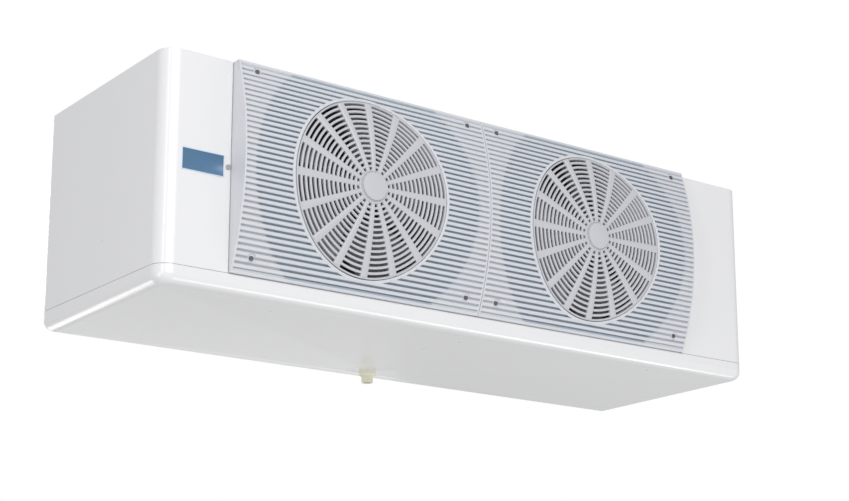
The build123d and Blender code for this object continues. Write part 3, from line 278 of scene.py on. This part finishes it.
# ---- Mesh helpers ------------------------------------------------------------------------------
def mesh_piece(name, verts, faces, mats, body, face_mats=None, sharp=40.0):
    """New piece from points and faces, in the row frame, riding on a body."""
    mesh = bpy.data.meshes.new(name)
    mesh.from_pydata([tuple(map(float, v)) for v in verts], [], [tuple(map(int, f)) for f in faces])
    mesh.validate()
    for mat in mats:
        mesh.materials.append(materials[mat])
    if face_mats is not None:
        mesh.polygons.foreach_set("material_index", np.asarray(face_mats, np.int32))
    mesh.polygons.foreach_set("use_smooth", np.ones(len(mesh.polygons), bool))
    mesh.set_sharp_from_angle(angle=math.radians(sharp))
    mesh.update()
    piece = bpy.data.objects.new(name, mesh)
    scene.collection.objects.link(piece)
    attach(piece, body)
    return piece


def grid_faces(rows, columns, first=0, closed_rows=False, closed_columns=False):
    """Quads of a grid of points that is stored row by row."""
    faces = []
    for i in range(rows if closed_rows else rows - 1):
        for j in range(columns if closed_columns else columns - 1):
            a, b = i, (i + 1) % rows
            c, d = j, (j + 1) % columns
            faces.append((first + a * columns + c, first + a * columns + d,
                          first + b * columns + d, first + b * columns + c))
    return faces


# ---- Bulged skin shared by the panels and the guards -------------------------------------------
skin_proud = {"top": 13 * MM, "middle": 38 * MM, "bottom": 3 * MM}
rib_count = 36
rib_margin = 6 * MM
plain_margin = 0.6 * rib_margin
rib_crest = 1.6 * MM
slat_crest = 2.0 * MM


def skin_circle():
    """Centre (y, z) and radius of the arc through the skin's top, middle and bottom."""
    points = [
        (front_y - skin_proud["top"], panel_top),
        (front_y - skin_proud["middle"], (panel_top + panel_bottom) / 2),
        (front_y - skin_proud["bottom"], panel_bottom),
    ]
    matrix = np.array([[2 * y, 2 * z, 1] for y, z in points])
    sides = np.array([y * y + z * z for y, z in points])
    cy, cz, c = np.linalg.solve(matrix, sides)
    return cy, cz, math.sqrt(c + cy * cy + cz * cz)


skin_cy, skin_cz, skin_r = skin_circle()


def skin_y(z):
    return skin_cy - np.sqrt(skin_r**2 - (z - skin_cz) ** 2)


def on_skin(x, z, height):
    """Point that stands out from the skin by a height, square to the bulge."""
    y = skin_y(z)
    normal_y, normal_z = (y - skin_cy) / skin_r, (z - skin_cz) / skin_r
    return np.stack(np.broadcast_arrays(x, y + normal_y * height, z + normal_z * height), -1)


# ---- Louvred panels ----------------------------------------------------------------------------
hole_radius = 141 * MM
collar_inner, collar_outer = 138.5 * MM, 143.4 * MM
# Across the collar: radius, and height over the skin
collar_section = [
    (collar_inner, -14 * MM), (collar_inner, 0.7 * MM), (collar_inner + 0.5 * MM, 1.5 * MM),
    (collar_inner + 1.4 * MM, 1.9 * MM), (collar_outer - 1.4 * MM, 1.9 * MM),
    (collar_outer - 0.4 * MM, 1.4 * MM), (collar_outer, 0.4 * MM), (collar_outer, -2.0 * MM),
]
open_radius = 200 * MM
open_blend = 7 * MM
open_depth = 3.4 * MM
closed_depth = 1.5 * MM
side_rim = 2.5 * MM
side_columns = [0.0, 0.4 * MM, side_rim * 0.75, side_rim, side_rim + 0.5 * MM]
side_crest = 0.6 * slat_crest
screw_reach = 195 * MM
screw_heights = (-15 * MM, -296 * MM)
screw_pad = 6.4 * MM
panel_columns = 57
screw_columns = 26
screw_span_mm = (-9, 16)
open_from = 0.35
back_gap = 1.0 * MM
ring_turns = 288
# Across a rib: share of the pitch from its middle, and share of the crest
rib_profile = [(-0.34, 0.0), (-0.31, 0.45), (-0.25, 0.82), (-0.15, 0.97), (0.0, 1.0),
               (0.15, 0.97), (0.25, 0.82), (0.31, 0.45), (0.34, 0.0)]


def louvre_rows():
    """Heights down the panel with each row's share of the rib crest."""
    rows = [(panel_top, 1.0, False), (panel_top - plain_margin, 1.0, False)]
    pitch_z = (panel_top - panel_bottom - 2 * rib_margin) / rib_count
    for rib in range(rib_count):
        z = panel_top - rib_margin - (rib + 0.5) * pitch_z
        for share, crest in rib_profile:
            rows.append((z - share * pitch_z, crest, crest == 0.0))
    rows += [(panel_bottom + plain_margin, 1.0, False), (panel_bottom, 1.0, False)]
    return rows


def louvre_half(fan_x, fan_z, x_edge, x_far):
    """Points of the panel from one side edge to the fan opening, or to its middle above and below it.

    The second value numbers each point's material: crest or groove, in the closed or the open zone. The grooves
    and the open zone's crests take darker greys as painted shade.
    """
    sign = 1 if x_far > x_edge else -1
    rows = louvre_rows()
    z = np.array([r[0] for r in rows])
    crest = np.array([r[1] for r in rows])
    groove = np.array([r[2] for r in rows])
    reach = np.sqrt(np.maximum(0, hole_radius**2 - (z - fan_z) ** 2))
    bound = fan_x - sign * reach
    inner_edge = x_edge + sign * side_columns[-1]
    full = abs(fan_x - inner_edge)
    screw_steps = np.linspace(*screw_span_mm, screw_columns) * MM
    near_screw = abs(fan_x - sign * screw_reach - inner_edge) + screw_steps
    steps = np.unique(np.concatenate([np.linspace(0, 1, panel_columns), near_screw / full]))
    steps = steps[(steps >= 0) & (steps <= 1)]
    columns = [np.full_like(z, x_edge + sign * inset) for inset in side_columns]
    columns += [inner_edge + (bound - inner_edge) * t for t in steps[1:]]
    x = np.stack(columns, 1)
    z_grid = np.repeat(z[:, None], x.shape[1], 1)
    reach_from_fan = np.hypot(x - fan_x, z_grid - fan_z)
    open_share = np.clip((open_radius + open_blend - reach_from_fan) / open_blend, 0, 1)
    open_share = open_share**2 * (3 - 2 * open_share)
    room = (panel_back - skin_y(z_grid)) - back_gap
    deep = np.minimum(open_depth, np.maximum(closed_depth, room))
    floor = -(closed_depth + (deep - closed_depth) * open_share)
    height = np.where(groove[:, None], floor, crest[:, None] * slat_crest)
    column = np.arange(x.shape[1])[None, :]
    rim_columns = column < len(side_columns) - 1
    rim_height = np.where(column == 0, side_crest, slat_crest)
    height = np.where(rim_columns, rim_height, height)
    for screw_z in screw_heights:
        near = np.hypot(x - (fan_x - sign * screw_reach), z_grid - screw_z)
        height = np.where(near < screw_pad, 0.0, height)
    points = on_skin(x, z_grid, height)
    # Crests over the fan, groove floors, and groove floors over the fan get ever darker greys: painted shade.
    is_open = (open_share > open_from).astype(int)
    shade = np.where(rim_columns, 0, is_open + np.where(groove[:, None], 2, 0))
    return points, shade


def louvre_panel(side):
    """Bulged panel with its ribs, its grooves, the fan opening and the walls back to the fan plate."""
    (x_low, _, _), (x_high, _, _) = panel_box[side]
    fan_x, fan_z = fan_axis[side]
    verts, faces, mats = [], [], []

    def add_grid(points, shade=None, flip=False):
        first = len(verts)
        rows, columns = points.shape[:2]
        verts.extend(points.reshape(-1, 3))
        for face in grid_faces(rows, columns, first):
            faces.append(face[::-1] if flip else face)
            if shade is None:
                mats.append(0)
            else:
                # Third of the four corners' marks: the face at a rib's foot takes the groove's material
                marks = sorted(shade.reshape(-1)[v - first] for v in face)
                mats.append(marks[2])

    def back_wall(line):
        foot = np.stack([line[:, 0], np.full(len(line), panel_back), line[:, 2]], -1)
        return np.stack([line, foot], 1)

    for x_edge, x_far in ((x_low, x_high), (x_high, x_low)):
        points, shade = louvre_half(fan_x, fan_z, x_edge, x_far)
        flip = x_far < x_edge
        add_grid(points, shade, flip=not flip)
        add_grid(back_wall(points[:, 0]), flip=flip)
        for row, turned in ((0, False), (-1, True)):
            add_grid(back_wall(points[row]), flip=flip != turned)
    finishes = ["louvre_grey", "louvre_open_painted_shade", "groove_painted_shade", "slot_shade"]
    piece = mesh_piece(f"louvre_front_{side}", verts, faces, finishes, "casing", mats, 50)
    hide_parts(f"louvre_panel_{side}")


def ring_on_skin(fan, profile):
    """Ring of points that follows the bulge; the profile gives radius and height."""
    angle = np.arange(ring_turns) * 2 * math.pi / ring_turns
    rows = []
    for radius, height in profile:
        rows.append(on_skin(fan[0] + radius * np.cos(angle), fan[1] + radius * np.sin(angle), height))
    return np.stack(rows, 0)


def collar(side):
    """Smooth rounded ring round the fan opening."""
    points = ring_on_skin(fan_axis[side], collar_section)
    faces = grid_faces(len(collar_section), ring_turns, closed_columns=True)
    piece = mesh_piece(f"louvre_collar_{side}", points.reshape(-1, 3), faces, ["louvre_grey"], "casing")


for side in fan_axis:
    louvre_panel(side)
    collar(side)


# ---- Fan guards --------------------------------------------------------------------------------
guard_radius = 137.3 * MM
guard_rim = 2.7 * MM
hub_radius = 26.4 * MM
slot_count = 14
bar_width = 3.8 * MM
bar_depth = 4.0 * MM
crown_share, crown_most = 0.35, 1.0 * MM
rim_proud = 0.2 * MM
rim_depth = 5.0 * MM
slots_end = guard_radius - guard_rim
slot_pitch = (slots_end + bar_width - hub_radius) / slot_count
spoke_count = 16
spoke_hub, spoke_rim = 5.0 * MM, 12.5 * MM
spoke_proud = 0.7 * MM
spoke_steps = 30
spoke_start = hub_radius - 3 * MM
spoke_end = slots_end + 0.6 * MM
# Across a spoke: share of its half width, and drop below its crown
spoke_section = [(-1.0, 4.6 * MM), (-1.0, 1.2 * MM), (-0.8, 0.4 * MM), (-0.4, 0.05 * MM),
                 (0.4, 0.05 * MM), (0.8, 0.4 * MM), (1.0, 1.2 * MM), (1.0, 4.6 * MM)]
# Out from the hub's centre: radius and set-back, in mm, with a raised ring's shallow groove
hub_section = [(0.0, 0.0), (22.6, 0.0), (23.0, 0.7), (23.6, 0.7), (24.0, 0.0), (25.6, 0.1), (26.2, 0.5),
               (26.4, 1.2)]
hub_back = front_y - 32 * MM
hub_turns = 96


def rounded_bar(inner, outer, top, depth):
    """Profile of a bar with a crowned top, from its inner foot over to its outer foot."""
    soft = min(crown_share * (outer - inner), crown_most)
    near_side = [(inner, top - depth), (inner, top - soft), (inner + 0.35 * soft, top - 0.3 * soft),
                 (inner + soft, top)]
    far_side = [(inner + outer - radius, height) for radius, height in reversed(near_side)]
    return near_side + far_side


def spoke_points(fan, angle):
    """Rows of points along one spoke, which widens towards the rim."""
    along = np.array([math.cos(angle), math.sin(angle)])
    across = np.array([-math.sin(angle), math.cos(angle)])
    crown = rib_crest + spoke_proud
    rows = []
    for radius in np.linspace(spoke_start, spoke_end, spoke_steps):
        half = (spoke_hub + (spoke_rim - spoke_hub) * radius / slots_end) / 2
        centre = np.array(fan) + along * radius
        row = []
        for share, drop in spoke_section:
            x, z = centre + across * (share * half)
            row.append(on_skin(x, z, crown - drop))
        rows.append(np.array(row))
    return np.stack(rows, 0)


def hub_points(fan, hub_front):
    """Rings of points over the hub's face, down its side and over its back."""
    angle = np.arange(hub_turns) * 2 * math.pi / hub_turns
    profile = [(radius * MM, hub_front + set_back * MM) for radius, set_back in hub_section]
    profile += [(hub_radius, hub_back), (0.0, hub_back)]
    rings = []
    for radius, y in profile:
        x = fan[0] + radius * np.cos(angle)
        z = fan[1] + radius * np.sin(angle)
        rings.append(np.stack([x, np.full(hub_turns, y), z], -1))
    return np.stack(rings, 0)


def fan_guard(side):
    """Guard that follows the panel's bulge: ring bars, rim, spokes and hub."""
    fan = fan_axis[side]
    verts, faces = [], []

    def add_grid(points, closed_rows=False):
        first = len(verts)
        rows, columns = points.shape[:2]
        verts.extend(points.reshape(-1, 3))
        faces.extend(grid_faces(rows, columns, first, closed_rows, closed_columns=True))

    for ring in range(slot_count - 1):
        outer = hub_radius + (ring + 1) * slot_pitch
        bar = rounded_bar(outer - bar_width, outer, rib_crest, bar_depth)
        add_grid(ring_on_skin(fan, bar), closed_rows=True)
    rim = rounded_bar(slots_end, guard_radius, rib_crest + rim_proud, rim_depth)
    add_grid(ring_on_skin(fan, rim), closed_rows=True)
    for spoke in range(spoke_count):
        first = len(verts)
        add_grid(spoke_points(fan, math.pi / 2 + spoke * 2 * math.pi / spoke_count))
        around = len(spoke_section)
        faces.append(tuple(range(first, first + around)))
        faces.append(tuple(range(len(verts) - 1, len(verts) - around - 1, -1)))
    guard_low, _ = node_box(f"fan_guard_{side}")
    add_grid(hub_points(fan, guard_low[1]))
    piece = mesh_piece(f"guard_wire_{side}", verts, faces, ["guard_grey"], "casing", sharp=45)
    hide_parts(f"fan_guard_{side}")


for side in fan_axis:
    fan_guard(side)


# ---- Plain plate on the left cover -------------------------------------------------------------
plate_corner = 1.2 * MM
plate_border_width = 1.3 * MM
plate_sink = 0.25 * MM
least_corner = 0.2 * MM


def rounded_outline(low, high, inset, corner, steps=8):
    """Corner-rounded outline in x and z, drawn in from the plate's edge."""
    x0, x1 = low[0] + inset, high[0] - inset
    z0, z1 = low[2] + inset, high[2] - inset
    radius = max(least_corner, corner - inset)
    outline = []
    corners = [(x1 - radius, z1 - radius, 0), (x0 + radius, z1 - radius, 90),
               (x0 + radius, z0 + radius, 180), (x1 - radius, z0 + radius, 270)]
    for cx, cz, start in corners:
        for step in range(steps + 1):
            turn = math.radians(start + 90 * step / steps)
            outline.append((cx + radius * math.cos(turn), cz + radius * math.sin(turn)))
    return outline


def name_plate():
    """Plain plate with a pale rim and a slightly sunk blue field."""
    low, high = node_box("nameplate")
    front, back = low[1], high[1]
    rings = [(0.0, back), (0.0, front + 0.35 * MM), (0.12 * MM, front + 0.1 * MM), (0.4 * MM, front),
             (plate_border_width, front), (plate_border_width + 0.2 * MM, front + plate_sink)]
    verts, faces, mats = [], [], []
    for inset, y in rings:
        outline = rounded_outline(low, high, inset, plate_corner)
        verts.extend((x, y, z) for x, z in outline)
    turns = len(verts) // len(rings)
    faces.extend(grid_faces(len(rings), turns, closed_columns=True))
    mats.extend([0] * len(faces))
    faces.append(tuple(range(len(verts) - turns, len(verts))))
    mats.append(1)
    piece = mesh_piece("cover_plate", verts, faces, ["plate_border", "blue_plate"], "casing", mats, 50)
    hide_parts("nameplate")


name_plate()


# ---- Carried-over CAD nodes get their finish ---------------------------------------------------
for name, node in nodes.items():
    node.data.materials.clear()
    node.data.materials.append(materials[slot_of[name]])


# ---- Floor -------------------------------------------------------------------------------------
floor_drop = 6.0
floor_reach = 60.0

floor_z = cad_low[2] - floor_drop
floor_corners = [(-floor_reach, -floor_reach, floor_z), (floor_reach, -floor_reach, floor_z),
                 (floor_reach, floor_reach, floor_z), (-floor_reach, floor_reach, floor_z)]
floor_mesh = bpy.data.meshes.new("floor")
floor_mesh.from_pydata(floor_corners, [], [(0, 1, 2, 3)])
floor_mesh.materials.append(materials["floor_paper"])
floor = bpy.data.objects.new("floor", floor_mesh)
scene.collection.objects.link(floor)
